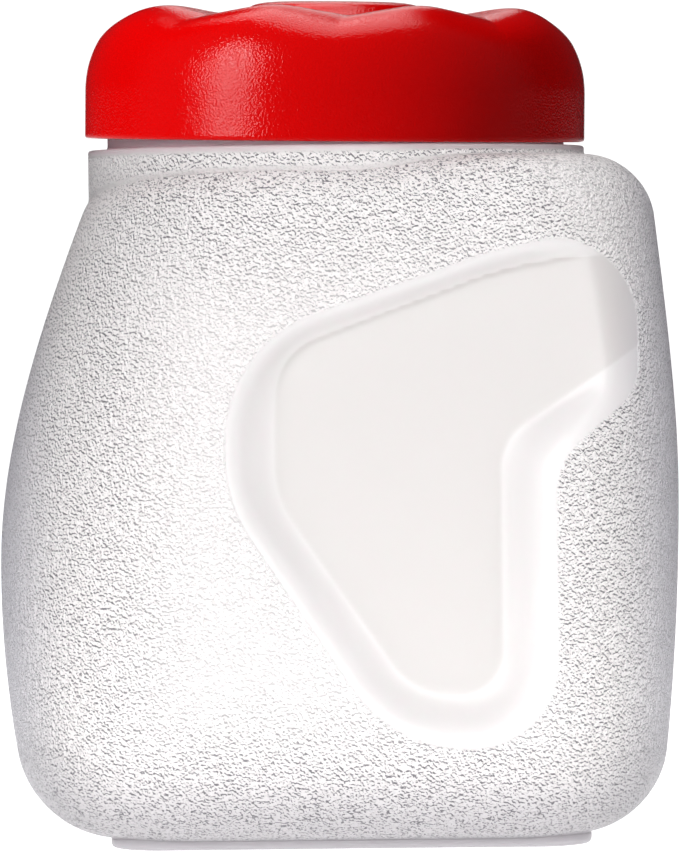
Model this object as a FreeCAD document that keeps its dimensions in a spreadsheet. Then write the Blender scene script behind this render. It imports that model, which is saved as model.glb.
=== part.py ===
import FreeCAD, Part
import math
import os
from FreeCAD import Vector, Placement, Rotation
import Sketcher

# Grip canister: a blow-moulded jar with a finger recess on its front and back,
# and a scalloped screw cap that sits slightly askew on its neck.
# Frame: +Z up, origin under the centre of the foot, millimetres.
# -Y is the front, +X is the gripping side with the upright wall.

doc = FreeCAD.newDocument("canister")

# ---------------------------------------------------------------- driving sizes
SIZES = [
    # the foot: a low rounded pedestal with a shallow push-up inside it
    ("foot_height", 2.0), ("foot_left", 50.0), ("foot_right", 54.0),
    ("foot_half_depth", 42.5), ("foot_corner", 11.0), ("foot_edge", 1.2),
    ("pushup_depth", 1.2), ("pushup_margin", 7.0),
    # the body's four walls: widest points, how fast they draw in above and below
    ("base_rise", 18.0), ("base_round_left", 20.5), ("base_round_right", 17.5),
    ("base_round_front", 18.0),
    ("left_widest", 73.8), ("left_widest_height", 60.0), ("left_slope", 0.486),
    ("left_bend", 60.0), ("left_lower_bow", 0.0025),
    ("right_widest", 73.6), ("right_widest_height", 77.0), ("right_slope", 0.131),
    ("right_bend", 30.0), ("right_lower_bow", 0.0009),
    ("half_depth", 61.5), ("depth_widest_height", 77.0), ("depth_bow", 0.0004),
    ("corner_left_foot", 37.0), ("corner_left_top", 50.0), ("corner_right", 33.0),
    # the shoulder
    ("shoulder_height", 149.4), ("shoulder_round_front", 12.0),
    ("shoulder_round_right", 13.0),
    # collar and neck
    ("collar_radius", 54.6), ("collar_centre", -0.5), ("collar_start", 126.0),
    ("collar_height", 151.1), ("collar_edge", 1.0),
    ("neck_radius", 50.4), ("neck_centre", -0.3),
    # the finger recess, cut to a flat floor; its outline is a rounded polygon
    ("recess_open_plane", 62.5), ("recess_floor_plane", 54.2),
    # the cap: skirt, crown, scallops and centre disc
    ("cap_radius", 55.1), ("cap_edge", 0.6), ("cap_skirt", 10.4),
    ("cap_crest_radius", 40.6), ("cap_crest_height", 29.2),
    ("cap_valley_radius", 27.0), ("cap_valley_height", 27.3),
    ("cap_valley_inner_radius", 21.0), ("crown_side_round", 26.0), ("crown_top_round", 13.2),
    ("disc_radius", 19.0), ("disc_height", 30.7), ("disc_edge_height", 29.7), ("disc_flat_radius", 16.0),
    ("cap_inside_radius", 52.9), ("cap_inside_top_radius", 51.6),
    ("cap_inside_shoulder", 13.0), ("cap_ceiling", 19.5),
    ("scallop_count", 8), ("scallop_depth", 2.3), ("scallop_turn", 0.5),
    ("scallop_inner_radius", 22.0),
    # how the cap sits on the neck
    ("cap_seat_height", 152.95), ("cap_centre", -0.6), ("cap_roll", 1.05), ("cap_pitch", 1.35),
]
S = dict(SIZES)

# rounded polygons of the recess (x, z, corner radius), from the upper left corner
# down the left side, along the bottom, up the right side and out through the channel
RIM = [("rim_a", -24.0, 108.6, 29.0), ("rim_b", -24.0, 75.5, 33.0), ("rim_c", 11.2, 22.6, 29.5),
       ("rim_d", 46.3, 22.6, 18.5), ("rim_e", 46.3, 83.4, 14.0), ("rim_f", 84.0, 115.1, 1.0),
       ("rim_g", 84.0, 133.2, 1.0), ("rim_k", 40.0, 130.6, 100.0)]
FLOOR = [("floor_a", -12.0, 106.6, 12.0), ("floor_b", -12.0, 76.0, 20.0), ("floor_c", 16.1, 35.2, 14.0),
         ("floor_d", 33.2, 35.2, 8.0), ("floor_e", 33.2, 88.5, 12.0), ("floor_f", 84.0, 115.5, 1.0),
         ("floor_g", 84.0, 129.0, 1.0), ("floor_k", 38.0, 124.8, 70.0)]

sheet = doc.addObject("Spreadsheet::Sheet", "Sizes")
row = 1
for alias, value in SIZES:
    sheet.set("A%d" % row, alias)
    sheet.set("B%d" % row, repr(value))
    sheet.setAlias("B%d" % row, alias)
    row += 1
for corner in RIM + FLOOR:
    for suffix, value in zip(("_across", "_up", "_round"), corner[1:]):
        sheet.set("A%d" % row, corner[0] + suffix)
        sheet.set("B%d" % row, repr(value))
        sheet.setAlias("B%d" % row, corner[0] + suffix)
        row += 1
doc.recompute()


def c(alias):
    """Name of a cell, for an expression."""
    return "Sizes." + alias


def origin_plane(body, role):
    for feature in body.Origin.OriginFeatures:
        if feature.Role == role:
            return feature


def new_sketch(body, name, role, offset=None, offset_expr=None, turn=None):
    sk = body.newObject("Sketcher::SketchObject", name)
    sk.AttachmentSupport = [(origin_plane(body, role), "")]
    sk.MapMode = "FlatFace"
    if offset is not None:
        sk.AttachmentOffset = Placement(Vector(0, 0, offset), turn or Rotation())
        if offset_expr:
            sk.setExpression("AttachmentOffset.Base.z", offset_expr)
    return sk


def rounded_polygon(sk, corners):
    """A closed outline of straight edges with tangent corner arcs.
    corners: (x, y, radius, x expression, y expression, radius expression), in order."""
    n = len(corners)
    pts = [Vector(p[0], p[1], 0) for p in corners]
    area = sum(pts[i].x * pts[(i + 1) % n].y - pts[(i + 1) % n].x * pts[i].y for i in range(n))
    ccw = area > 0
    ins, outs, arcs = [], [], []
    for i in range(n):
        p, a, b = pts[i], pts[i - 1], pts[(i + 1) % n]
        u, v = (a - p).normalize(), (b - p).normalize()
        half = 0.5 * math.acos(max(-1.0, min(1.0, u.dot(v))))
        t = corners[i][2] / math.tan(half)
        centre = p + (u + v).normalize() * (corners[i][2] / math.sin(half))
        ins.append(p + u * t)
        outs.append(p + v * t)
        arcs.append(centre)
    ids = []
    for i in range(n):
        j = (i + 1) % n
        ids.append(sk.addGeometry(Part.LineSegment(outs[i], ins[j]), False))
    arc_ids = []
    for i in range(n):
        a0 = math.atan2(ins[i].y - arcs[i].y, ins[i].x - arcs[i].x)
        a1 = math.atan2(outs[i].y - arcs[i].y, outs[i].x - arcs[i].x)
        turn_left = (pts[i] - pts[i - 1]).cross(pts[(i + 1) % n] - pts[i]).z > 0
        circle = Part.Circle(arcs[i], Vector(0, 0, 1), corners[i][2])
        if turn_left:
            arc_ids.append((sk.addGeometry(Part.ArcOfCircle(circle, a0, a1), False), 1, 2))
        else:
            arc_ids.append((sk.addGeometry(Part.ArcOfCircle(circle, a1, a0), False), 2, 1))
    for i in range(n):
        prev_line, next_line = ids[i - 1], ids[i]
        g, first, last = arc_ids[i]
        sk.addConstraint(Sketcher.Constraint("Tangent", prev_line, 2, g, first))
        sk.addConstraint(Sketcher.Constraint("Tangent", next_line, 1, g, last))
        k = sk.addConstraint(Sketcher.Constraint("Radius", g, corners[i][2]))
        sk.setExpression("Constraints[%d]" % k, corners[i][5])
    for i in range(n):
        q = sk.addGeometry(Part.Point(pts[i]), True)
        sk.addConstraint(Sketcher.Constraint("PointOnObject", q, 1, ids[i - 1]))
        sk.addConstraint(Sketcher.Constraint("PointOnObject", q, 1, ids[i]))
        kx = sk.addConstraint(Sketcher.Constraint("DistanceX", -1, 1, q, 1, corners[i][0]))
        sk.setExpression("Constraints[%d]" % kx, corners[i][3])
        ky = sk.addConstraint(Sketcher.Constraint("DistanceY", -1, 1, q, 1, corners[i][1]))
        sk.setExpression("Constraints[%d]" % ky, corners[i][4])
    return ccw


def circle_sketch(sk, x, radius, x_expr, radius_expr):
    g = sk.addGeometry(Part.Circle(Vector(x, 0, 0), Vector(0, 0, 1), radius), False)
    sk.addConstraint(Sketcher.Constraint("PointOnObject", g, 3, -1))
    k = sk.addConstraint(Sketcher.Constraint("DistanceX", -1, 1, g, 3, x))
    sk.setExpression("Constraints[%d]" % k, x_expr)
    k = sk.addConstraint(Sketcher.Constraint("Radius", g, radius))
    sk.setExpression("Constraints[%d]" % k, radius_expr)


# ---------------------------------------------------------------- the jar's walls
def left_at(z):
    lift = z - S["left_widest_height"]
    if lift < 0:
        return S["left_widest"] - S["left_lower_bow"] * lift ** 2
    return S["left_widest"] - S["left_slope"] * (math.sqrt(S["left_bend"] ** 2 + lift ** 2) - S["left_bend"])


def left_expr(z):
    lift = "(%s - %s)" % (z, c("left_widest_height"))
    low = "%s * %s * %s" % (c("left_lower_bow"), lift, lift)
    high = "%s * (sqrt(%s * %s + %s * %s) - %s)" % (
        c("left_slope"), c("left_bend"), c("left_bend"), lift, lift, c("left_bend"))
    return "%s - (%s < 0 ? %s : %s)" % (c("left_widest"), lift, low, high)


def right_at(z):
    lift = z - S["right_widest_height"]
    if lift < 0:
        return S["right_widest"] - S["right_lower_bow"] * lift ** 2
    return S["right_widest"] - S["right_slope"] * (math.sqrt(S["right_bend"] ** 2 + lift ** 2) - S["right_bend"])


def right_expr(z):
    lift = "(%s - %s)" % (z, c("right_widest_height"))
    low = "%s * %s * %s" % (c("right_lower_bow"), lift, lift)
    high = "%s * (sqrt(%s * %s + %s * %s) - %s)" % (
        c("right_slope"), c("right_bend"), c("right_bend"), lift, lift, c("right_bend"))
    return "%s - (%s < 0 ? %s : %s)" % (c("right_widest"), lift, low, high)


def depth_at(z):
    return S["half_depth"] - S["depth_bow"] * (z - S["depth_widest_height"]) ** 2


def depth_expr(z):
    lift = "(%s - %s)" % (z, c("depth_widest_height"))
    return "%s - %s * %s * %s" % (c("half_depth"), c("depth_bow"), lift, lift)


def corner_left_at(z):
    return S["corner_left_foot"] + (S["corner_left_top"] - S["corner_left_foot"]) * z / S["shoulder_height"]


def corner_left_expr(z):
    return "%s + (%s - %s) * %s / %s" % (
        c("corner_left_foot"), c("corner_left_top"), c("corner_left_foot"), z, c("shoulder_height"))


def wall_section(body, name, z, z_expr, cut, cut_expr):
    """One level of the body: a rectangle with its own left and right corner radii.
    cut: how far each wall is drawn in (left, right, front) by the base or shoulder rounding."""
    zb = "(%s)" % z_expr
    left, right, deep = left_at(z) - cut[0], right_at(z) - cut[1], depth_at(z) - cut[2]
    rl, rr = corner_left_at(z) - cut[2], S["corner_right"] - cut[2]
    le = "-(%s - (%s))" % (left_expr(zb), cut_expr[0])
    re = "%s - (%s)" % (right_expr(zb), cut_expr[1])
    de = "%s - (%s)" % (depth_expr(zb), cut_expr[2])
    rle = "%s - (%s)" % (corner_left_expr(zb), cut_expr[2])
    rre = "%s - (%s)" % (c("corner_right"), cut_expr[2])
    sk = new_sketch(body, name, "XY_Plane", z, z_expr)
    rounded_polygon(sk, [
        (-left, -deep, rl, le, "-(%s)" % de, rle), (right, -deep, rr, re, "-(%s)" % de, rre),
        (right, deep, rr, re, de, rre), (-left, deep, rl, le, de, rle)])
    return sk


jar = doc.addObject("PartDesign::Body", "jar")
jar.Label = "jar"

base_top = S["foot_height"] + S["base_rise"]
base_top_expr = "%s + %s" % (c("foot_height"), c("base_rise"))
round_start = S["shoulder_height"] - S["shoulder_round_front"]
round_start_expr = "%s - %s" % (c("shoulder_height"), c("shoulder_round_front"))

sections = []
for k, angle in enumerate((90.0, 64.0, 42.0, 21.0)):
    # the rounded base: a quarter ellipse under each wall
    s, q = math.sin(math.radians(angle)), 1 - math.cos(math.radians(angle))
    se, qe = "sin(%g deg)" % angle, "(1 - cos(%g deg))" % angle
    z = base_top - S["base_rise"] * s
    sections.append(wall_section(
        jar, "base_level_%d" % (k + 1), z, "%s - %s * %s" % (base_top_expr, c("base_rise"), se),
        (S["base_round_left"] * q, S["base_round_right"] * q, S["base_round_front"] * q),
        ("%s * %s" % (c("base_round_left"), qe), "%s * %s" % (c("base_round_right"), qe),
         "%s * %s" % (c("base_round_front"), qe))))
WALL_STEPS = 6
for k in range(WALL_STEPS):
    # the walls, between the base rounding and the shoulder rounding
    f = k / (WALL_STEPS - 1.0)
    z = base_top + (round_start - base_top) * f
    sections.append(wall_section(
        jar, "wall_level_%d" % (k + 1), z,
        "(%s) + ((%s) - (%s)) * %.6g" % (base_top_expr, round_start_expr, base_top_expr, f),
        (0.0, 0.0, 0.0), ("0", "0", "0")))
for k, angle in enumerate((28.0, 52.0, 72.0, 90.0)):
    # the shoulder: the front and back roll over on one radius, the right wall on a larger one
    s, q = math.sin(math.radians(angle)), 1 - math.cos(math.radians(angle))
    z = round_start + S["shoulder_round_front"] * s
    ze = "%s + %s * sin(%g deg)" % (round_start_expr, c("shoulder_round_front"), angle)
    rr = S["shoulder_round_right"]
    up = max(0.0, z - (S["shoulder_height"] - rr))
    upe = "((%s) - (%s - %s))" % (ze, c("shoulder_height"), c("shoulder_round_right"))
    front, front_e = S["shoulder_round_front"] * q, "%s * (1 - cos(%g deg))" % (c("shoulder_round_front"), angle)
    right_cut = rr - math.sqrt(max(0.0, rr ** 2 - up ** 2))
    if angle == 90.0:
        right_cut, right_e = rr, c("shoulder_round_right")
    else:
        right_e = "%s - sqrt(%s * %s - %s * %s)" % (
            c("shoulder_round_right"), c("shoulder_round_right"), c("shoulder_round_right"), upe, upe)
    sections.append(wall_section(jar, "shoulder_level_%d" % (k + 1), z, ze,
                                 (front, right_cut, front), (front_e, right_e, front_e)))

shell = jar.newObject("PartDesign::AdditiveLoft", "walls")
shell.Profile = sections[0]
shell.Sections = sections[1:]
shell.Ruled = False
doc.recompute()

# the finger recess: one tapering cut through the front wall, mirrored to the back
def recess_sketch(name, corners, plane):
    sk = new_sketch(jar, name, "XZ_Plane", S[plane], c(plane))
    rounded_polygon(sk, [(p[1], p[2], p[3], c(p[0] + "_across"), c(p[0] + "_up"), c(p[0] + "_round"))
                         for p in corners])
    return sk


rim = recess_sketch("recess_rim", RIM, "recess_open_plane")
floor = recess_sketch("recess_floor", FLOOR, "recess_floor_plane")
before = shell.Shape.Volume
recess = jar.newObject("PartDesign::SubtractiveLoft", "front_recess")
recess.Profile = rim
recess.Sections = [floor]
recess.Ruled = True
doc.recompute()
print("front recess removes", before - recess.Shape.Volume)
back = jar.newObject("PartDesign::Mirrored", "back_recess")
back.Originals = [recess]
back.MirrorPlane = (origin_plane(jar, "XZ_Plane"), [""])
jar.Tip = back
doc.recompute()
print("both recesses remove", before - back.Shape.Volume)

# the foot, standing a little proud of the rounded base
foot_sketch = new_sketch(jar, "foot_outline", "XY_Plane", 0.0)
fl, fr, fd, fc = S["foot_left"], S["foot_right"], S["foot_half_depth"], S["foot_corner"]
rounded_polygon(foot_sketch, [
    (-fl, -fd, fc, "-" + c("foot_left"), "-" + c("foot_half_depth"), c("foot_corner")),
    (fr, -fd, fc, c("foot_right"), "-" + c("foot_half_depth"), c("foot_corner")),
    (fr, fd, fc, c("foot_right"), c("foot_half_depth"), c("foot_corner")),
    (-fl, fd, fc, "-" + c("foot_left"), c("foot_half_depth"), c("foot_corner"))])
foot = jar.newObject("PartDesign::Pad", "foot")
foot.Profile = foot_sketch
foot.Length = S["foot_height"] + 1.0
foot.setExpression("Length", c("foot_height") + " + 1")
doc.recompute()

# collar and neck
collar_sketch = new_sketch(jar, "collar_circle", "XY_Plane", S["collar_start"], c("collar_start"))
circle_sketch(collar_sketch, S["collar_centre"], S["collar_radius"], c("collar_centre"), c("collar_radius"))
collar = jar.newObject("PartDesign::Pad", "collar")
collar.Profile = collar_sketch
collar.Length = S["collar_height"] - S["collar_start"]
collar.setExpression("Length", "%s - %s" % (c("collar_height"), c("collar_start")))
doc.recompute()

neck_sketch = new_sketch(jar, "neck_circle", "XY_Plane", S["collar_start"], c("collar_start"))
circle_sketch(neck_sketch, S["neck_centre"], S["neck_radius"], c("neck_centre"), c("neck_radius"))
neck = jar.newObject("PartDesign::Pad", "neck")
neck.Profile = neck_sketch
neck.Length = 52.0
neck.setExpression("Length", "%s + %s + 4 - %s" % (c("cap_seat_height"), c("cap_ceiling"), c("collar_start")))
doc.recompute()

# the neck's rim is trimmed to the plane of the cap's ceiling, which leans a little
tilt = Rotation(Vector(0, 1, 0), S["cap_roll"]).multiply(Rotation(Vector(1, 0, 0), S["cap_pitch"]))
seat = Vector(S["cap_centre"], 0, S["cap_seat_height"])
ceiling = seat + tilt.multVec(Vector(0, 0, S["cap_ceiling"]))
trim_sketch = jar.newObject("Sketcher::SketchObject", "rim_trim_outline")
trim_sketch.AttachmentSupport = [(origin_plane(jar, "XY_Plane"), "")]
trim_sketch.MapMode = "FlatFace"
trim_sketch.AttachmentOffset = Placement(ceiling, tilt)
circle_sketch(trim_sketch, 0.0, S["cap_radius"] * 1.2, "0", c("cap_radius") + " * 1.2")
before = neck.Shape.Volume
trim = jar.newObject("PartDesign::Pocket", "rim_trim")
trim.Profile = trim_sketch
trim.Length = 20.0
trim.Reversed = True
doc.recompute()
print("rim trim removes", before - trim.Shape.Volume)

# the push-up under the foot leaves a standing ring
push_sketch = new_sketch(jar, "pushup_outline", "XY_Plane", 0.0)
m = S["pushup_margin"]
me = c("pushup_margin")
rounded_polygon(push_sketch, [
    (-(fl - m), -(fd - m), 6.0, "-(%s - %s)" % (c("foot_left"), me), "-(%s - %s)" % (c("foot_half_depth"), me), "6"),
    (fr - m, -(fd - m), 6.0, "%s - %s" % (c("foot_right"), me), "-(%s - %s)" % (c("foot_half_depth"), me), "6"),
    (fr - m, fd - m, 6.0, "%s - %s" % (c("foot_right"), me), "%s - %s" % (c("foot_half_depth"), me), "6"),
    (-(fl - m), fd - m, 6.0, "-(%s - %s)" % (c("foot_left"), me), "%s - %s" % (c("foot_half_depth"), me), "6")])
before = trim.Shape.Volume
pushup = jar.newObject("PartDesign::Pocket", "pushup")
pushup.Profile = push_sketch
pushup.Length = S["pushup_depth"]
pushup.setExpression("Length", c("pushup_depth"))
pushup.Reversed = True
doc.recompute()
print("push-up removes", before - pushup.Shape.Volume)
jar.Tip = pushup


def edges_where(shape, test):
    return ["Edge%d" % (i + 1) for i, e in enumerate(shape.Edges) if test(e)]


def near(a, b, tol=0.02):
    return abs(a - b) < tol


# rounded edges: the foot's lower edge and the collar's upper edge
def foot_edge(e):
    box = e.BoundBox
    return near(box.ZMax, 0) and (near(abs(e.CenterOfMass.y), fd, 4) or near(e.CenterOfMass.x, fr, 4)
                                  or near(e.CenterOfMass.x, -fl, 4))


soft = jar.newObject("PartDesign::Fillet", "foot_round")
soft.Base = (pushup, edges_where(pushup.Shape, foot_edge))
soft.Radius = S["foot_edge"]
soft.setExpression("Radius", c("foot_edge"))
doc.recompute()


def collar_edge(e):
    box = e.BoundBox
    return (near(box.ZMin, S["collar_height"]) and near(box.ZMax, S["collar_height"])
            and box.XLength > 2 * S["neck_radius"] + 4)


soft_collar = jar.newObject("PartDesign::Fillet", "collar_round")
soft_collar.Base = (soft, edges_where(soft.Shape, collar_edge))
soft_collar.Radius = S["collar_edge"]
soft_collar.setExpression("Radius", c("collar_edge"))
jar.Tip = soft_collar
doc.recompute()

# ---------------------------------------------------------------- the cap
cap = doc.addObject("PartDesign::Body", "lid")
cap.Label = "lid"
cap_sketch = new_sketch(cap, "cap_profile", "XZ_Plane", 0.0)

# outer line: skirt, two tangent arcs for the crown, the dished top and the centre disc;
# inner line: the bore over the neck and the ceiling that seats on its rim
R0, Z0 = S["cap_radius"], S["cap_skirt"]
RA, RB = S["crown_side_round"], S["crown_top_round"]
side_centre = Vector(R0 - RA, Z0, 0)
top_centre = Vector(S["cap_crest_radius"], S["cap_crest_height"] - RB, 0)
meet = side_centre + (top_centre - side_centre).normalize() * RA
meet_angle = math.atan2(meet.y - side_centre.y, meet.x - side_centre.x)
corners = {
    "edge_out": ("cap_radius", "cap_edge"),
    "skirt_top": ("cap_radius", "cap_skirt"),
    "crest": ("cap_crest_radius", "cap_crest_height"),
    "valley_out": ("cap_valley_radius", "cap_valley_height"),
    "valley_in": ("cap_valley_inner_radius", "cap_valley_height"),
    "disc_edge": ("disc_radius", "disc_edge_height"),
    "disc_flat": ("disc_flat_radius", "disc_height"),
    "disc_top": (None, "disc_height"),
    "ceiling_mid": (None, "cap_ceiling"),
    "ceiling_edge": ("cap_inside_top_radius", "cap_ceiling"),
    "bore_top": ("cap_inside_radius", "cap_inside_shoulder"),
    "bore_low": ("cap_inside_radius", None),
}


def at(name):
    r, z = corners[name]
    return Vector(S[r] if r else 0.0, S[z] if z else 0.0, 0)


edge_in = Vector(R0 - S["cap_edge"], 0, 0)
g_skirt = cap_sketch.addGeometry(Part.LineSegment(at("edge_out"), at("skirt_top")), False)
g_side = cap_sketch.addGeometry(Part.ArcOfCircle(Part.Circle(side_centre, Vector(0, 0, 1), RA), 0.0, meet_angle), False)
g_top = cap_sketch.addGeometry(Part.ArcOfCircle(Part.Circle(top_centre, Vector(0, 0, 1), RB), meet_angle, math.pi / 2), False)
chain = ["crest", "valley_out", "valley_in", "disc_edge", "disc_flat", "disc_top"]
g_lines = [cap_sketch.addGeometry(Part.LineSegment(at(a), at(b)), False) for a, b in zip(chain, chain[1:])]
inner = ["disc_top", "ceiling_mid", "ceiling_edge", "bore_top", "bore_low"]
g_inner = [cap_sketch.addGeometry(Part.LineSegment(at(a), at(b)), False) for a, b in zip(inner, inner[1:])]
g_foot = cap_sketch.addGeometry(Part.LineSegment(at("bore_low"), edge_in), False)
g_edge = cap_sketch.addGeometry(Part.LineSegment(edge_in, at("edge_out")), False)


def fix(geometry, point, name_or_pair):
    """Place one end by two cells, measured from the axis and from the cap's lower edge."""
    r, z = corners[name_or_pair] if name_or_pair in corners else name_or_pair
    for kind, alias in (("DistanceX", r), ("DistanceY", z)):
        if alias:
            k = cap_sketch.addConstraint(Sketcher.Constraint(kind, -1, 1, geometry, point, S[alias]))
            cap_sketch.setExpression("Constraints[%d]" % k, c(alias))
    if r is None:
        cap_sketch.addConstraint(Sketcher.Constraint("PointOnObject", geometry, point, -2))
    if z is None:
        cap_sketch.addConstraint(Sketcher.Constraint("PointOnObject", geometry, point, -1))


def join(a, pa, b, pb, kind="Coincident"):
    cap_sketch.addConstraint(Sketcher.Constraint(kind, a, pa, b, pb))


fix(g_skirt, 1, "edge_out")
fix(g_skirt, 2, "skirt_top")
join(g_skirt, 2, g_side, 1, "Tangent")
join(g_side, 2, g_top, 1, "Tangent")
k = cap_sketch.addConstraint(Sketcher.Constraint("Radius", g_side, RA))
cap_sketch.setExpression("Constraints[%d]" % k, c("crown_side_round"))
fix(g_top, 2, "crest")
ends = [(g_top, 2)]
for g, name in zip(g_lines, chain[1:]):
    join(ends[-1][0], ends[-1][1], g, 1)
    fix(g, 2, name)
    ends.append((g, 2))
join(g_lines[-1], 2, g_inner[0], 1)
for i, (g, name) in enumerate(zip(g_inner, inner[1:])):
    if i:
        join(g_inner[i - 1], 2, g, 1)
    fix(g, 2, name)
join(g_inner[-1], 2, g_foot, 1)
join(g_foot, 2, g_edge, 1)
join(g_edge, 2, g_skirt, 1)
cap_sketch.addConstraint(Sketcher.Constraint("PointOnObject", g_foot, 2, -1))
k = cap_sketch.addConstraint(Sketcher.Constraint("DistanceX", g_edge, 1, g_edge, 2, S["cap_edge"]))
cap_sketch.setExpression("Constraints[%d]" % k, c("cap_edge"))

turned = cap.newObject("PartDesign::Revolution", "cap_turned")
turned.Profile = cap_sketch
turned.ReferenceAxis = (cap_sketch, ["V_Axis"])
turned.Angle = 360.0
doc.recompute()
print("cap turned volume", turned.Shape.Volume)

# one scallop crease: a shallow V that starts on the dished top, is deepest at the
# crest and runs out down the crown; eight of them leave eight lobes between
azimuth = math.radians(-90.0 + S["scallop_turn"])
radial = Vector(math.cos(azimuth), math.sin(azimuth), 0)
across = Vector(-math.sin(azimuth), math.cos(azimuth), 0)
up = Vector(0, 0, 1)
half_pitch = math.pi / S["scallop_count"]


def crown_point(angle):
    """The crown's surface where its normal leans out by this angle: radius, height."""
    lean = math.pi / 2 - math.radians(angle)
    if lean > meet_angle:
        return top_centre.x + RB * math.cos(lean), top_centre.y + RB * math.sin(lean)
    return side_centre.x + RA * math.cos(lean), side_centre.y + RA * math.sin(lean)


def crease_section(name, r, z, angle, depth):
    normal = radial * math.sin(math.radians(angle)) + up * math.cos(math.radians(angle))
    sk = cap.newObject("Sketcher::SketchObject", name)
    sk.AttachmentSupport = [(origin_plane(cap, "XY_Plane"), "")]
    sk.MapMode = "FlatFace"
    sk.AttachmentOffset = Placement(radial * r + up * z, Rotation(across, normal, across.cross(normal), "XYZ"))
    half = r * math.tan(half_pitch)
    flank = max(depth, 0.35) / (0.97 * half)
    rise = flank * half * 1.12 - depth
    wide = half * 1.12
    lid_off = rise + 4.0
    pts = [Vector(0, -depth, 0), Vector(wide, rise, 0), Vector(wide, lid_off, 0),
           Vector(-wide, lid_off, 0), Vector(-wide, rise, 0)]
    n = len(pts)
    gs = [sk.addGeometry(Part.LineSegment(pts[i], pts[(i + 1) % n]), False) for i in range(n)]
    for i in range(n):
        sk.addConstraint(Sketcher.Constraint("Coincident", gs[i], 2, gs[(i + 1) % n], 1))
    sk.addConstraint(Sketcher.Constraint("PointOnObject", gs[0], 1, -2))
    sk.addConstraint(Sketcher.Constraint("Vertical", gs[1]))
    sk.addConstraint(Sketcher.Constraint("Symmetric", gs[1], 1, gs[3], 2, -2))
    sk.addConstraint(Sketcher.Constraint("Symmetric", gs[1], 2, gs[2], 2, -2))
    share = depth / S["scallop_depth"]
    k = sk.addConstraint(Sketcher.Constraint("DistanceY", -1, 1, gs[0], 1, -depth))
    sk.setExpression("Constraints[%d]" % k, "-(%.6g) * %s" % (share, c("scallop_depth")))
    sk.addConstraint(Sketcher.Constraint("DistanceX", -1, 1, gs[1], 1, wide))
    sk.addConstraint(Sketcher.Constraint("DistanceY", -1, 1, gs[1], 1, rise))
    sk.addConstraint(Sketcher.Constraint("DistanceY", -1, 1, gs[1], 2, lid_off))
    return sk


deep = S["scallop_depth"]
valley_slope = (S["cap_crest_height"] - S["cap_valley_height"]) / (S["cap_crest_radius"] - S["cap_valley_radius"])
creases = [crease_section("crease_start", S["scallop_inner_radius"], S["cap_valley_height"], 0.0, -0.15)]
r = 0.5 * (S["cap_valley_radius"] + S["cap_crest_radius"])
creases.append(crease_section("crease_top", r, S["cap_valley_height"] + valley_slope * (r - S["cap_valley_radius"]), 0.0, 0.62 * deep))
for name, angle, share in (("crease_crest", 3.0, 1.0), ("crease_crown_high", 16.0, 0.98), ("crease_crown", 29.0, 0.93),
                           ("crease_crown_low", 42.0, 0.82), ("crease_side_high", 55.0, 0.66), ("crease_side", 68.0, 0.4),
                           ("crease_low", 79.0, 0.14), ("crease_end", 89.0, -0.2)):
    r, z = crown_point(angle)
    creases.append(crease_section(name, r, z, angle, share * deep))
scallop = cap.newObject("PartDesign::SubtractiveLoft", "scallop")
scallop.Profile = creases[0]
scallop.Sections = creases[1:]
scallop.Ruled = True
doc.recompute()
print("one scallop removes", turned.Shape.Volume - scallop.Shape.Volume)
scallops = cap.newObject("PartDesign::PolarPattern", "scallops")
scallops.Originals = [scallop]
scallops.Axis = (origin_plane(cap, "Z_Axis"), [""])
scallops.Angle = 360.0
scallops.Occurrences = int(S["scallop_count"])
scallops.setExpression("Occurrences", c("scallop_count"))
cap.Tip = scallops
doc.recompute()
print("all scallops remove", turned.Shape.Volume - scallops.Shape.Volume)

# the cap sits askew: its left side is high and its front is low
cap.Placement = Placement(seat, tilt)
cap.setExpression("Placement.Base.z", c("cap_seat_height"))
cap.setExpression("Placement.Base.x", c("cap_centre"))
doc.recompute()

# ---------------------------------------------------------------- check and write
for obj in doc.Objects:
    if "Invalid" in obj.State or "Error" in obj.State:
        raise RuntimeError("%s is %s" % (obj.Name, obj.State))
for body in (jar, cap):
    shape = body.Shape
    if shape.isNull() or not shape.isValid() or len(shape.Solids) != 1:
        raise RuntimeError("%s has a bad shape" % body.Label)
    box = shape.BoundBox
    print("%s: volume %.0f mm3, box x %.2f..%.2f y %.2f..%.2f z %.2f..%.2f" % (
        body.Label, shape.Volume, box.XMin, box.XMax, box.YMin, box.YMax, box.ZMin, box.ZMax))
overlap = jar.Shape.common(cap.Shape)
print("jar and lid share %.4f mm3, gap %.4f mm" % (overlap.Volume, jar.Shape.distToShape(cap.Shape)[0]))

os.makedirs("parts", exist_ok=True)
for body in (jar, cap):
    body.Shape.exportStep(os.path.join("parts", body.Label + ".step"))
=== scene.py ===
import bpy
import math
import numpy as np
from mathutils import Euler, Matrix, Quaternion, Vector


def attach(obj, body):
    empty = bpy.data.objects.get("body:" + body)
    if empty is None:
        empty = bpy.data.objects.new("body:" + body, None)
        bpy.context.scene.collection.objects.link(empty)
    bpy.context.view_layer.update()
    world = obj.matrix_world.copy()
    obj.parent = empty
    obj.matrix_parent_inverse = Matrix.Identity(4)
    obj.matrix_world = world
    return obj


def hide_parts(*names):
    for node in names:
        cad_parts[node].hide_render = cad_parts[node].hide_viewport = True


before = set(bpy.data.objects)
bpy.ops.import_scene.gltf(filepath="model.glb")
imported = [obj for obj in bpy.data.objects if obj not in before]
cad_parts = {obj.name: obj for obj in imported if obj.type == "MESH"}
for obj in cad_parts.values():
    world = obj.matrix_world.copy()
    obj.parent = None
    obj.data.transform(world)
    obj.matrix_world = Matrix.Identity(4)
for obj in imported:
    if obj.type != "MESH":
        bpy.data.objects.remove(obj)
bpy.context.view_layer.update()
MM = 0.001

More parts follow.
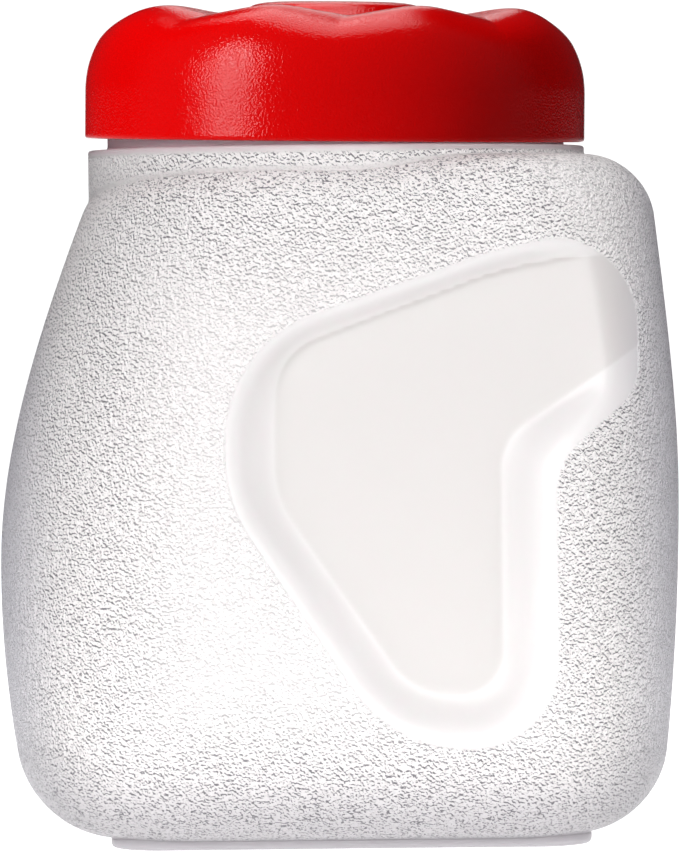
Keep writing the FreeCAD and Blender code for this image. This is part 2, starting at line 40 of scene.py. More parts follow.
# ---------------------------------------------------------------- sizes of the jar
BASE_Z, BASE_RISE = 2.0, 18.0
ROUND_L, ROUND_R, ROUND_F = 16.2, 17.5, 18.0
FOOT = (50.0, 54.0, 42.5, 11.0)
TOP_Z, ROLL_F, ROLL_R = 148.85, 12.0, 13.4
COLLAR_X, COLLAR_R, COLLAR_Z, COLLAR_EDGE = 0.2, 54.7, 151.1, 0.6
NECK_X, NECK_R, NECK_TOP = 0.1, 50.3, 170.9
FLOOR_Y = 55.8

# outlines of the finger recess (x, z, corner radius): where the wall starts to turn in,
# where it is steepest, and the edge of the flat floor
RIM = [(-24.0, 108.6, 29.0), (-24.0, 75.5, 33.0), (11.2, 22.6, 29.5), (46.3, 22.6, 18.5),
       (46.3, 83.4, 14.0), (84.0, 115.1, 1.0), (84.0, 133.2, 1.0), (40.0, 130.6, 100.0)]
STEEP = [(-20.3, 107.4, 24.0), (-20.3, 77.0, 28.0), (12.6, 28.4, 23.0), (39.8, 28.4, 14.0),
         (39.8, 86.3, 12.0), (84.0, 117.0, 1.0), (84.0, 130.8, 1.0), (39.2, 126.6, 88.0)]
FLAT = [(-12.0, 106.6, 12.0), (-12.0, 76.0, 20.0), (16.1, 35.2, 14.0), (33.2, 35.2, 8.0),
        (33.2, 88.5, 12.0), (84.0, 121.5, 1.0), (84.0, 129.6, 1.0), (38.0, 125.4, 80.0)]
# the smooth patch with no leather grain: the recess, closed off on the right corner
PLAIN = [(-24.0, 108.6, 29.0), (-24.0, 75.5, 33.0), (11.2, 22.6, 29.5), (46.3, 22.6, 18.5),
         (46.3, 83.4, 14.0), (64.2, 98.4, 11.0), (64.2, 131.9, 19.0), (40.0, 130.6, 100.0)]


def left_at(z):
    lift = z - 60.0
    return np.where(lift < 0, 73.8 - 0.0021 * lift ** 2, 73.8 - 0.486 * (np.sqrt(3600.0 + lift ** 2) - 60.0))


def right_at(z):
    lift = z - 77.0
    return np.where(lift < 0, 73.6 - 0.0009 * lift ** 2, 73.6 - 0.131 * (np.sqrt(900.0 + lift ** 2) - 30.0))


def deep_at(z):
    return 61.5 - 0.0004 * (z - 77.0) ** 2


def outline_points(corners, pitch=1.2):
    """A rounded polygon as a closed run of points."""
    out = []
    n = len(corners)
    for i in range(n):
        p = np.array(corners[i][:2])
        u = np.array(corners[i - 1][:2]) - p
        v = np.array(corners[(i + 1) % n][:2]) - p
        u, v = u / np.hypot(*u), v / np.hypot(*v)
        half = 0.5 * math.acos(max(-1.0, min(1.0, float(u @ v))))
        r = corners[i][2]
        w = u + v
        mid = p + w / np.hypot(*w) * r / math.sin(half)
        s, e = p + u * r / math.tan(half), p + v * r / math.tan(half)
        a0 = math.atan2(s[1] - mid[1], s[0] - mid[0])
        a1 = math.atan2(e[1] - mid[1], e[0] - mid[0])
        turn = (a1 - a0 + math.pi) % (2 * math.pi) - math.pi
        steps = max(2, int(abs(turn) * r / pitch) + 1)
        for k in range(steps + 1):
            a = a0 + turn * k / steps
            out.append((mid[0] + r * math.cos(a), mid[1] + r * math.sin(a)))
    return np.array(out)


def inside_by(corners, x, z):
    """How far each point is inside a rounded polygon; negative outside."""
    p = outline_points(corners)
    q = np.roll(p, -1, axis=0)
    shape = x.shape
    x, z = x.ravel(), z.ravel()
    best = np.full(x.shape, 1e9)
    inside = np.zeros(x.shape, bool)
    for (ax, az), (bx, bz) in zip(p, q):
        dx, dz = bx - ax, bz - az
        length = dx * dx + dz * dz
        if length < 1e-9:
            continue
        t = np.clip(((x - ax) * dx + (z - az) * dz) / length, 0.0, 1.0)
        best = np.minimum(best, (x - ax - t * dx) ** 2 + (z - az - t * dz) ** 2)
        cross = (az > z) != (bz > z)
        if dz != 0:
            inside ^= cross & (x < ax + (z - az) * dx / dz)
    best = np.sqrt(best)
    return np.where(inside, best, -best).reshape(shape)


# ---------------------------------------------------------------- columns round the jar
# each column keeps its place along one straight side or one corner arc at every height
FRONT, CORNER_R, SIDE_R, BACK, CORNER_L, SIDE_L = 104, 54, 38, 104, 56, 28
COLUMNS = []
for kind, count in (("front", FRONT), ("corner_fr", CORNER_R), ("side_r", SIDE_R), ("corner_br", CORNER_R),
                    ("back", BACK), ("corner_bl", CORNER_L), ("side_l", SIDE_L), ("corner_fl", CORNER_L)):
    for k in range(count):
        COLUMNS.append((kind, k / count))
N = len(COLUMNS)
KIND = np.array([k for k, f in COLUMNS])
FRAC = np.array([f for k, f in COLUMNS])


def section(z, cut_l, cut_r, cut_f):
    """x and y of every column at heights z, with the walls drawn in by the cuts. z and the cuts: (rows, 1) or (rows, columns)."""
    L, R, D = left_at(z) - cut_l, right_at(z) - cut_r, deep_at(z) - cut_f
    rl, rr = 37.0 + 13.0 * z / TOP_Z - cut_f, 33.0 - cut_f
    one = np.ones((1, N))
    L, R, D, rl, rr = L * one, R * one, D * one, rl * one, rr * one
    f = FRAC[None, :] * np.ones_like(L)
    x, y = np.zeros_like(L), np.zeros_like(L)

    def put(kind, px, py):
        m = (KIND == kind)[None, :] & np.ones_like(L, bool)
        x[m], y[m] = px[m], py[m]

    q = f * math.pi / 2
    put("front", -(L - rl) + (L - rl + R - rr) * f, -D)
    put("corner_fr", R - rr + rr * np.sin(q), -(D - rr) - rr * np.cos(q))
    put("side_r", R, -(D - rr) + 2 * (D - rr) * f)
    put("corner_br", R - rr + rr * np.cos(q), (D - rr) + rr * np.sin(q))
    put("back", (R - rr) - (L - rl + R - rr) * f, D)
    put("corner_bl", -(L - rl) - rl * np.sin(q), (D - rl) + rl * np.cos(q))
    put("side_l", -L, (D - rl) - 2 * (D - rl) * f)
    put("corner_fl", -(L - rl) - rl * np.cos(q), -(D - rl) - rl * np.sin(q))
    return x, y


def box_radius(theta, left, right, deep, r):
    """Distance from the axis to a rounded rectangle, in each direction."""
    pts = []
    for cx, cy, a0 in ((right - r, deep - r, 0), (-(left - r), deep - r, 90), (-(left - r), -(deep - r), 180),
                       (right - r, -(deep - r), 270)):
        for k in range(19):
            a = math.radians(a0 + 5.0 * k)
            pts.append((cx + r * math.cos(a), cy + r * math.sin(a)))
    p = np.array(pts)
    q = np.roll(p, -1, axis=0)
    out = np.zeros_like(theta)
    c, s = np.cos(theta), np.sin(theta)
    for (ax, ay), (bx, by) in zip(p, q):
        ex, ey = bx - ax, by - ay
        den = c * ey - s * ex
        ok = np.abs(den) > 1e-9
        den = np.where(ok, den, 1.0)
        t = (ax * ey - ay * ex) / den
        k = (ax * s - ay * c) / den
        hit = ok & (t > 0) & (k >= -1e-6) & (k <= 1 + 1e-6)
        out = np.where(hit, np.maximum(out, t), out)
    return out


rows_x, rows_y, rows_z, rows_plain = [], [], [], []


def add_row(x, y, z, plain):
    one = np.ones(N)
    rows_x.append(x * one)
    rows_y.append(y * one)
    rows_z.append(z * one)
    rows_plain.append(plain * one)


# the foot, from the middle of its underside outwards
x0, y0 = section(np.array([[BASE_Z]]), ROUND_L, ROUND_R, ROUND_F)
theta = np.arctan2(y0[0], x0[0])
c0, s0 = np.cos(theta), np.sin(theta)
outer = box_radius(theta, *FOOT)
inner = box_radius(theta, FOOT[0] - 7, FOOT[1] - 7, FOOT[2] - 7, 6.0)
for share in (0.3, 0.65, 0.93):
    add_row(inner * share * c0, inner * share * s0, 1.2, 5.0)
for back, z in ((0.9, 1.2), (0.45, 1.05), (0.1, 0.6), (-0.15, 0.15), (-0.6, 0.0)):
    add_row((inner - back) * c0, (inner - back) * s0, z, 5.0)
add_row(0.5 * (inner + outer) * c0, 0.5 * (inner + outer) * s0, 0.0, 5.0)
for k in range(6):
    a = math.radians(18.0 * k)
    add_row((outer - 1.2 + 1.2 * math.sin(a)) * c0, (outer - 1.2 + 1.2 * math.sin(a)) * s0, 1.2 - 1.2 * math.cos(a), 5.0)
add_row(outer * c0, outer * s0, 1.75, 3.0)

# the rounded base, outside the foot
for z in (2.0, 2.12, 2.25, 2.4, 2.55, 2.75, 3.0, 3.35, 3.8, 4.4, 5.1, 6.0, 7.1, 8.4, 9.9, 11.6, 13.4, 15.3, 17.2, 19.0):
    s = (BASE_Z + BASE_RISE - z) / BASE_RISE
    q = 1 - math.sqrt(max(0.0, 1 - s * s))
    x, y = section(np.array([[z]]), ROUND_L * q, ROUND_R * q, ROUND_F * q)
    x, y = x[0], y[0]
    t = np.arctan2(y, x)
    f = box_radius(t, *FOOT)
    r = np.hypot(x, y)
    # a small fillet where the foot meets the base
    wide = 0.5 * (r + f + np.sqrt((r - f) ** 2 + 0.5 ** 2))
    out = np.maximum(r, f) if z > 6 else wide - 0.25 * np.exp(-((r - f) / 1.5) ** 2)
    plain = np.clip(1.2 - (r - f), -8, 3)
    add_row(out * np.cos(t), out * np.sin(t), z, plain)

# the walls
for z in np.linspace(20.0, 134.0, 106):
    x, y = section(np.array([[z]]), 0.0, 0.0, 0.0)
    add_row(x[0], y[0], z, -8.0)

# the shoulder, up to where it meets the collar
path = []
for z in np.linspace(134.0, TOP_Z - ROLL_F, 10)[:-1]:
    x, y = section(np.array([[z]]), 0.0, 0.0, 0.0)
    path.append((x[0], y[0], np.full(N, z)))
for a in np.radians(np.linspace(0.0, 90.0, 61)):
    z = TOP_Z - ROLL_F + ROLL_F * math.sin(a)
    cut = ROLL_F * (1 - math.cos(a))
    up = max(0.0, z - (TOP_Z - ROLL_R))
    right = ROLL_R - math.sqrt(max(0.0, ROLL_R ** 2 - up ** 2))
    x, y = section(np.array([[z]]), cut, right, cut)
    path.append((x[0], y[0], np.full(N, z)))
ex, ey, ez = path[-1]
for f in np.linspace(0.0, 1.0, 91)[1:]:
    path.append((ex + (COLLAR_X - ex) * f, ey * (1 - f), ez))
px, py, pz = (np.array([p[i] for p in path]) for i in range(3))
rho = np.hypot(px - COLLAR_X, py)
step = np.sqrt(np.diff(px, axis=0) ** 2 + np.diff(py, axis=0) ** 2 + np.diff(pz, axis=0) ** 2)
arc = np.vstack([np.zeros(N), np.cumsum(step, axis=0)])
first = np.argmax(rho < COLLAR_R, axis=0)
cols = np.arange(N)
share = (rho[first - 1, cols] - COLLAR_R) / (rho[first - 1, cols] - rho[first, cols])
join_s = arc[first - 1, cols] + share * (arc[first, cols] - arc[first - 1, cols])


def along(s):
    """The point on each column's path at arc length s."""
    out = []
    for field in (px, py, pz):
        out.append(np.array([np.interp(s[k], arc[:, k], field[:, k]) for k in range(N)]))
    return out


jx, jy, jz = along(join_s)
for _ in range(2):  # an even junction line round the collar
    jz = (np.roll(jz, 1) + 2 * jz + np.roll(jz, -1)) / 4
phi = np.arctan2(jy, jx - COLLAR_X)
cx, cy = np.cos(phi), np.sin(phi)
low = np.minimum(1.7, 0.8 * join_s)
high = np.minimum(1.6, 0.62 * (COLLAR_Z - COLLAR_EDGE - jz))
for f in np.linspace(0.0, 1.0, 27)[1:]:
    x, y, z = along((join_s - low) * f)
    add_row(x, y, z, np.clip(0.1 - (join_s - low) * (1 - f), -8, 3))
ax_, ay_, az_ = along(join_s - low)
bx_, by_, bz_ = COLLAR_X + COLLAR_R * cx, COLLAR_R * cy, jz + high
for t in (0.2, 0.4, 0.6, 0.8, 1.0):
    w0, w1, w2 = (1 - t) ** 2, 2 * t * (1 - t), t * t
    add_row(w0 * ax_ + w1 * jx + w2 * bx_, w0 * ay_ + w1 * jy + w2 * by_, w0 * az_ + w1 * jz + w2 * bz_,
            (0.1, 0.1, -0.3, -0.7, -1.2)[int(t * 5) - 1])
top = COLLAR_Z - COLLAR_EDGE
for f in (0.2, 0.4, 0.6, 0.8, 0.92, 1.0):
    z = bz_ + (top - bz_) * f
    add_row(bx_, by_, z, np.clip(z - (COLLAR_Z - 1.5), -4, 3))
for a in (22.5, 45.0, 67.5, 90.0):
    r = COLLAR_R - COLLAR_EDGE + COLLAR_EDGE * math.cos(math.radians(a))
    add_row(COLLAR_X + r * cx, r * cy, top + COLLAR_EDGE * math.sin(math.radians(a)), 2.0)
for dr, z in ((0.8, COLLAR_Z), (0.25, COLLAR_Z + 0.15), (0.0, COLLAR_Z + 0.7), (0.0, 156.0), (0.0, NECK_TOP - 0.8), (-0.8, NECK_TOP),
              (-14.0, NECK_TOP), (-34.0, NECK_TOP)):
    add_row(NECK_X + (NECK_R + dr) * cx, (NECK_R + dr) * cy, z, 4.0)

X, Y, Z = np.array(rows_x), np.array(rows_y), np.array(rows_z)
PLAIN_MM = np.array(rows_plain)

# ---------------------------------------------------------------- the finger recess, front and back
near = (X > -30) & (Z > 15) & (Z < 140) & (np.abs(Y) > 15)
gx, gz = X[near], Z[near]
a, m, b = inside_by(RIM, gx, gz), inside_by(STEEP, gx, gz), -inside_by(FLAT, gx, gz)
w1, w2 = np.maximum(a - m, 0.3), np.maximum(b + m, 0.3)
h = w1 / (w1 + w2)
outer_part = h * np.clip(a / w1, 0, 1) ** 2
inner_part = 1 - (1 - h) * np.clip(b / w2, 0, 1) ** 2
S = np.where(a <= 0, 0.0, np.where(b <= 0, 1.0, np.where(m < 0, outer_part, inner_part)))
body = np.abs(Y[near])
flat = 0.5 * (body + FLOOR_Y - np.sqrt((body - FLOOR_Y) ** 2 + 0.8 ** 2))
flat = np.where(body < FLOOR_Y - 6, body, flat)
SUNK = np.zeros_like(X)
SUNK[near] = S
Y[near] = np.sign(Y[near]) * (body * (1 - S) + flat * S)
p = inside_by(PLAIN, gx, gz)
merged = PLAIN_MM[near]
PLAIN_MM[near] = np.maximum(merged, np.clip(p, -8, 8))


# ---------------------------------------------------------------- meshes
def grid_mesh(name, x, y, z, attrs, close_low=True, close_high=True):
    """Rows joined round into a skin, and a fan over each open end. Rows run upwards, columns anticlockwise from above."""
    rows, n = x.shape
    co = np.stack([x, y, z], axis=-1).reshape(-1, 3)
    faces = []
    r = np.arange(rows - 1)[:, None]
    k = np.arange(n)[None, :]
    k2 = (k + 1) % n
    quads = np.stack([r * n + k, r * n + k2, (r + 1) * n + k2, (r + 1) * n + k], axis=-1).reshape(-1, 4)
    faces = [tuple(q) for q in quads.tolist()]
    extra = []
    if close_low:
        i = len(co) + len(extra)
        extra.append(co[:n].mean(axis=0))
        faces += [(i, (j + 1) % n, j) for j in range(n)]
    if close_high:
        i = len(co) + len(extra)
        extra.append(co[-n:].mean(axis=0))
        base = (rows - 1) * n
        faces += [(i, base + j, base + (j + 1) % n) for j in range(n)]
    if extra:
        co = np.vstack([co, np.array(extra)])
    mesh = bpy.data.meshes.new(name)
    mesh.from_pydata((co * MM).tolist(), [], faces)
    for key, values in attrs.items():
        layer = mesh.attributes.new(key, "FLOAT", "POINT")
        flatv = np.concatenate([values.reshape(-1), np.full(len(extra), float(values.reshape(-1)[-1]))])
        layer.data.foreach_set("value", flatv.astype(np.float32))
    mesh.polygons.foreach_set("use_smooth", [True] * len(mesh.polygons))
    mesh.update()
    mesh.validate()
    obj = bpy.data.objects.new(name, mesh)
    bpy.context.scene.collection.objects.link(obj)
    return obj


jar = grid_mesh("jar_skin", X, Y, Z, {"plain_mm": PLAIN_MM, "sunk": SUNK})

# ---------------------------------------------------------------- the cap
CAP_R, CAP_SKIRT, CREST_R, CREST_Z = 55.1, 10.4, 40.6, 29.2
SIDE_ROUND, TOP_ROUND = 26.0, 13.2
SIDE_C = (CAP_R - SIDE_ROUND, CAP_SKIRT)
TOP_C = (CREST_R, CREST_Z - TOP_ROUND)
MEET = math.atan2(TOP_C[1] - SIDE_C[1], TOP_C[0] - SIDE_C[0])
DEEP = 2.3
LOBES = 8
cap_profile = []  # radius, height, lean of the normal from upright (radians), crease depth


def cap_point(r, z, lean, depth):
    cap_profile.append((r, z, lean, depth))


def fade(u):
    u = max(0.0, min(1.0, u))
    return u * u * (3 - 2 * u)


for r, z in ((51.6, 19.0), (52.2, 15.0), (52.9, 13.0), (52.9, 6.0), (52.9, 0.35)):
    cap_point(r, z, math.pi / 2, 0.0)
for r, z in ((53.05, 0.1), (53.3, 0.0), (54.4, 0.0), (54.75, 0.06), (55.0, 0.3), (55.1, 0.7)):
    cap_point(r, z, math.pi / 2, 0.0)
for z in np.linspace(1.2, CAP_SKIRT, 9):
    cap_point(CAP_R, float(z), math.pi / 2, 0.0)
for t in np.linspace(0.0, MEET, 17)[1:]:
    lean = math.pi / 2 - t
    cap_point(SIDE_C[0] + SIDE_ROUND * math.cos(t), SIDE_C[1] + SIDE_ROUND * math.sin(t), lean,
              DEEP * fade((math.radians(83) - lean) / math.radians(76)))
for t in np.linspace(MEET, math.pi / 2, 28)[1:]:
    lean = math.pi / 2 - t
    cap_point(TOP_C[0] + TOP_ROUND * math.cos(t), TOP_C[1] + TOP_ROUND * math.sin(t), lean,
              DEEP * fade((math.radians(83) - lean) / math.radians(76)))
# the dished top, drawn as a soft curve from the crest down to the ring valley and up to the disc
for f in np.linspace(0.0, 1.0, 15)[1:]:
    r = CREST_R + (25.0 - CREST_R) * f
    z = CREST_Z - (CREST_Z - 27.3) * fade(f)
    cap_point(r, z, 0.0, DEEP * (1 - fade((f - 0.1) / 0.9)))
for r, z in ((23.5, 27.3), (22.0, 27.3), (21.1, 27.45), (20.3, 28.0), (19.5, 28.7), (19.0, 29.2), (18.3, 29.6), (17.2, 29.95),
             (15.5, 30.25), (13.0, 30.45), (8.0, 30.5), (3.0, 30.5)):
    cap_point(r, z, 0.0, 0.0)

M = 800
phi_c = np.arange(M) * 2 * math.pi / M
pitch = 2 * math.pi / LOBES
cap_x, cap_y, cap_z = [], [], []
for r, z, lean, depth in cap_profile:
    # creases turn a little as they climb
    swirl = math.radians(-0.8 + (3.9 + 0.8) * max(0.0, min(1.0, (53.0 - r) / 12.0)))
    off = (phi_c - (-math.pi / 2 + swirl) + pitch / 2) % pitch - pitch / 2
    u = np.abs(off) / (pitch / 2)
    v = np.sqrt(u * u + 0.02 ** 2)
    # nearly straight flanks, a rounded lobe top and a tight crease
    drop = 1 - v
    drop = np.clip(drop, 0, 1)
    drop = np.where(u > 0.72, drop * 0 + 0.5 * (0.28 + 0.28) * ((1 - u) / 0.28) ** 2 * 0.5 + 0.14, drop) - 0.14 * 1.0
    drop = np.clip(drop, 0, 1) / (1 - 0.14)
    d = depth * drop
    rr = r - d * math.sin(lean)
    zz = z - d * math.cos(lean)
    cap_x.append(rr * np.cos(phi_c))
    cap_y.append(rr * np.sin(phi_c))
    cap_z.append(zz)
cap = grid_mesh("cap_shell", np.array(cap_x), np.array(cap_y), np.array(cap_z), {}, close_low=True)
tilt = Euler((0.0, math.radians(1.05), 0.0)).to_matrix() @ Euler((math.radians(1.35), 0.0, 0.0)).to_matrix()
cap.data.transform(Matrix.Translation(Vector((-0.05, 0.0, 152.95)) * MM) @ tilt.to_4x4())


# ---------------------------------------------------------------- materials
def new_material(name):
    mat = bpy.data.materials.new(name)
    mat.use_nodes = True
    mat.node_tree.nodes.clear()
    return mat, mat.node_tree.nodes, mat.node_tree.links


def node(nodes, kind, **values):
    made = nodes.new(kind)
    for key, value in values.items():
        if hasattr(made, key):
            setattr(made, key, value)
        else:
            made.inputs[key.replace("_", " ")].default_value = value
    return made


def math_node(nodes, links, op, a, b=None, c=None, clamp=False):
    made = nodes.new("ShaderNodeMath")
    made.operation = op
    made.use_clamp = clamp
    for i, v in enumerate((a, b, c)):
        if v is None:
            continue
        if isinstance(v, (int, float)):
            made.inputs[i].default_value = v
        else:
            links.new(v, made.inputs[i])
    return made.outputs[0]


def noise(nodes, links, where, scale, detail, rough, distortion=0.0):
    n = nodes.new("ShaderNodeTexNoise")
    n.noise_dimensions = "3D"
    links.new(where, n.inputs["Vector"])
    n.inputs["Scale"].default_value = scale
    n.inputs["Detail"].default_value = detail
    n.inputs["Roughness"].default_value = rough
    n.inputs["Distortion"].default_value = distortion
    return n.outputs[0]


def mix_colour(nodes, links, factor, a, b):
    m = nodes.new("ShaderNodeMix")
    m.data_type = "RGBA"
    for sock, v in ((m.inputs[0], factor), (m.inputs[6], a), (m.inputs[7], b)):
        if isinstance(v, (int, float)):
            sock.default_value = v
        elif isinstance(v, tuple):
            sock.default_value = v
        else:
            links.new(v, sock)
    return m.outputs[2]


# frosted polyethylene: milky, with a wrinkled leather grain except in the recess, on the neck and on the foot
mat_jar, nodes, links = new_material("frosted_polyethylene")
out = nodes.new("ShaderNodeOutputMaterial")
bsdf = nodes.new("ShaderNodeBsdfPrincipled")
links.new(bsdf.outputs[0], out.inputs[0])
coord = nodes.new("ShaderNodeTexCoord").outputs["Object"]
plain = nodes.new("ShaderNodeAttribute")
plain.attribute_name = "plain_mm"
grained = nodes.new("ShaderNodeMapRange")
grained.interpolation_type = "SMOOTHSTEP"
links.new(plain.outputs["Fac"], grained.inputs["Value"])
grained.inputs["From Min"].default_value = -0.45
grained.inputs["From Max"].default_value = 0.35
grained.inputs["To Min"].default_value = 1.0
grained.inputs["To Max"].default_value = 0.0
mask = grained.outputs[0]
# wrinkles: short bent ridges about a millimetre apart, as bump; the lower side of each ridge is painted darker, painted
# shade as if lit from above
shifted = nodes.new("ShaderNodeVectorMath")
shifted.operation = "ADD"
links.new(coord, shifted.inputs[0])
shifted.inputs[1].default_value = (0.00004, 0.0, 0.00013)
n1 = noise(nodes, links, coord, 1640.0, 0.0, 0.5, 0.5)
n2 = noise(nodes, links, shifted.outputs[0], 1640.0, 0.0, 0.5, 0.5)
height = math_node(nodes, links, "MULTIPLY", n1, mask)
bump = nodes.new("ShaderNodeBump")
bump.inputs["Distance"].default_value = 0.00050
bump.inputs["Strength"].default_value = 1.0
links.new(height, bump.inputs["Height"])
links.new(bump.outputs[0], bsdf.inputs["Normal"])
lee_side_shade = nodes.new("ShaderNodeMapRange")
lee_side_shade.interpolation_type = "SMOOTHSTEP"
links.new(math_node(nodes, links, "SUBTRACT", n2, n1), lee_side_shade.inputs["Value"])
lee_side_shade.inputs["From Min"].default_value = 0.0
lee_side_shade.inputs["From Max"].default_value = 0.12
lee_side_shade.inputs["To Min"].default_value = 0.0
lee_side_shade.inputs["To Max"].default_value = 1.0
place = nodes.new("ShaderNodeSeparateXYZ")
links.new(coord, place.inputs[0])


def ramp_to(value, low, high):
    made = nodes.new("ShaderNodeMapRange")
    made.interpolation_type = "SMOOTHSTEP"
    links.new(value, made.inputs["Value"])
    made.inputs["From Min"].default_value = low
    made.inputs["From Max"].default_value = high
    return made.outputs[0]


# where the painted ridge shade is strong: towards the sides, the top and the bottom, but less right at the outermost
# side edges and top corners
outward = math_node(nodes, links, "ABSOLUTE", place.outputs[0])
above = math_node(nodes, links, "MAXIMUM", math_node(nodes, links, "SUBTRACT", place.outputs[2], 0.115), 0.0)
edgeward = math_node(nodes, links, "MULTIPLY_ADD", above, 0.75, outward)
strong = math_node(nodes, links, "MAXIMUM", ramp_to(outward, 0.026, 0.052), ramp_to(place.outputs[2], 0.108, 0.138))
strong = math_node(nodes, links, "MAXIMUM", strong, ramp_to(place.outputs[2], 0.040, 0.016))
strong = math_node(nodes, links, "MULTIPLY", strong, math_node(nodes, links, "MULTIPLY_ADD", ramp_to(edgeward, 0.060, 0.071), -0.7, 1.0))
amount = math_node(nodes, links, "MULTIPLY_ADD", strong, 0.58, 0.36)
painted_ridge_shade = math_node(nodes, links, "MULTIPLY", math_node(nodes, links, "MULTIPLY", lee_side_shade.outputs[0], amount), mask)
# the recess's sloping edge is painted paler than its floor: painted light standing in for light through the thin
# translucent wall, evening out the slopes' shade
sunk = nodes.new("ShaderNodeAttribute")
sunk.attribute_name = "sunk"
painted_slope_light = ramp_to(sunk.outputs["Fac"], 1.0, 0.96)
recess_tint_painted_slopes = mix_colour(nodes, links, painted_slope_light, (0.745, 0.722, 0.706, 1), (0.855, 0.835, 0.825, 1))
tint = mix_colour(nodes, links, mask, recess_tint_painted_slopes, (0.975, 0.945, 0.932, 1))
# painted shade: darker and cooler round the side walls and towards the base, standing in for how the translucent wall
# darkens at its edges; a painted red cast from the cap by the collar and the neck
side = ramp_to(outward, 0.056, 0.075)
tint = mix_colour(nodes, links, math_node(nodes, links, "MULTIPLY", side, 0.85), tint, (0.66, 0.655, 0.71, 1))
# painted shade towards the base
base = ramp_to(place.outputs[2], 0.026, 0.004)
tint = mix_colour(nodes, links, math_node(nodes, links, "MULTIPLY", base, 0.8), tint, (0.45, 0.435, 0.455, 1))
# painted shade at the lower side corners
corner = math_node(nodes, links, "MULTIPLY", ramp_to(place.outputs[2], 0.036, 0.010), ramp_to(outward, 0.048, 0.066))
tint = mix_colour(nodes, links, math_node(nodes, links, "MULTIPLY", corner, 0.45), tint, (0.42, 0.41, 0.43, 1))
# painted shade on the foot band
painted_foot_shade = ramp_to(place.outputs[2], 0.0034, 0.0018)
tint = mix_colour(nodes, links, math_node(nodes, links, "MULTIPLY", painted_foot_shade, 0.8), tint, (0.34, 0.33, 0.345, 1))
# painted shade under the cap with a painted red cast from the cap, on the top of the collar
rim_shade_and_red_cast = ramp_to(place.outputs[2], 0.1494, 0.1508)
tint = mix_colour(nodes, links, math_node(nodes, links, "MULTIPLY", rim_shade_and_red_cast, 0.8), tint, (0.90, 0.70, 0.76, 1))
# a painted red cast from the cap on the neck
neck_red_cast = ramp_to(place.outputs[2], 0.1512, 0.1522)
tint = mix_colour(nodes, links, neck_red_cast, tint, (1.0, 0.80, 0.85, 1))
# painted shade on the lower side of each ridge
tint = mix_colour(nodes, links, painted_ridge_shade, tint, (0.13, 0.127, 0.14, 1))
links.new(tint, bsdf.inputs["Base Color"])
rough = math_node(nodes, links, "MULTIPLY_ADD", mask, 0.06, 0.30)
links.new(rough, bsdf.inputs["Roughness"])
bsdf.inputs["IOR"].default_value = 1.5
bsdf.inputs["Specular IOR Level"].default_value = 0.28
bsdf.inputs["Transmission Weight"].default_value = 0.18
links.new(math_node(nodes, links, "MULTIPLY_ADD", mask, -0.85, 1.0), bsdf.inputs["Subsurface Weight"])
bsdf.inputs["Subsurface Radius"].default_value = (1.0, 0.9, 0.95)
bsdf.inputs["Subsurface Scale"].default_value = 0.010

# red polypropylene with a fine spark grain
mat_cap, nodes, links = new_material("red_polypropylene")
out = nodes.new("ShaderNodeOutputMaterial")
bsdf = nodes.new("ShaderNodeBsdfPrincipled")
links.new(bsdf.outputs[0], out.inputs[0])
coord = nodes.new("ShaderNodeTexCoord").outputs["Object"]
grain = noise(nodes, links, coord, 2350.0, 0.0, 0.5, 0.2)
bump = nodes.new("ShaderNodeBump")
bump.inputs["Distance"].default_value = 0.00007
bump.inputs["Strength"].default_value = 1.0
links.new(grain, bump.inputs["Height"])
links.new(bump.outputs[0], bsdf.inputs["Normal"])
bsdf.inputs["Base Color"].default_value = (0.60, 0.0003, 0.0003, 1)
bsdf.inputs["Roughness"].default_value = 0.12
bsdf.inputs["IOR"].default_value = 1.48
bsdf.inputs["Specular IOR Level"].default_value = 0.16
bsdf.inputs["Subsurface Weight"].default_value = 0.1
bsdf.inputs["Subsurface Radius"].default_value = (1.0, 0.1, 0.1)
bsdf.inputs["Subsurface Scale"].default_value = 0.002

jar.data.materials.append(mat_jar)
cap.data.materials.append(mat_cap)
for piece, name, slot in ((jar, "jar", "frosted_jar"), (cap, "lid", "red_cap")):
    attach(piece, "root")
    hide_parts(name)


BACK_FROM, BACK_FULL = 0.988, 0.9972
SIDE_TONE, FLAG_TONE, BACK_TONE = (0.19, 0.18, 0.20, 1), (0.02, 0.019, 0.022, 1), (1.15, 1.15, 1.15, 1)

# ---------------------------------------------------------------- floor, backdrop and light
def plain_material(name, colour, glow=0.0, rough=0.9):
    mat, nodes, links = new_material(name)
    out = nodes.new("ShaderNodeOutputMaterial")
    b = nodes.new("ShaderNodeBsdfPrincipled")
    b.inputs["Base Color"].default_value = (*colour, 1)
    b.inputs["Roughness"].default_value = rough
    b.inputs["Specular IOR Level"].default_value = 0.0
    b.inputs["Emission Color"].default_value = (1, 1, 1, 1)
    b.inputs["Emission Strength"].default_value = glow
    links.new(b.outputs[0], out.inputs[0])
    return mat


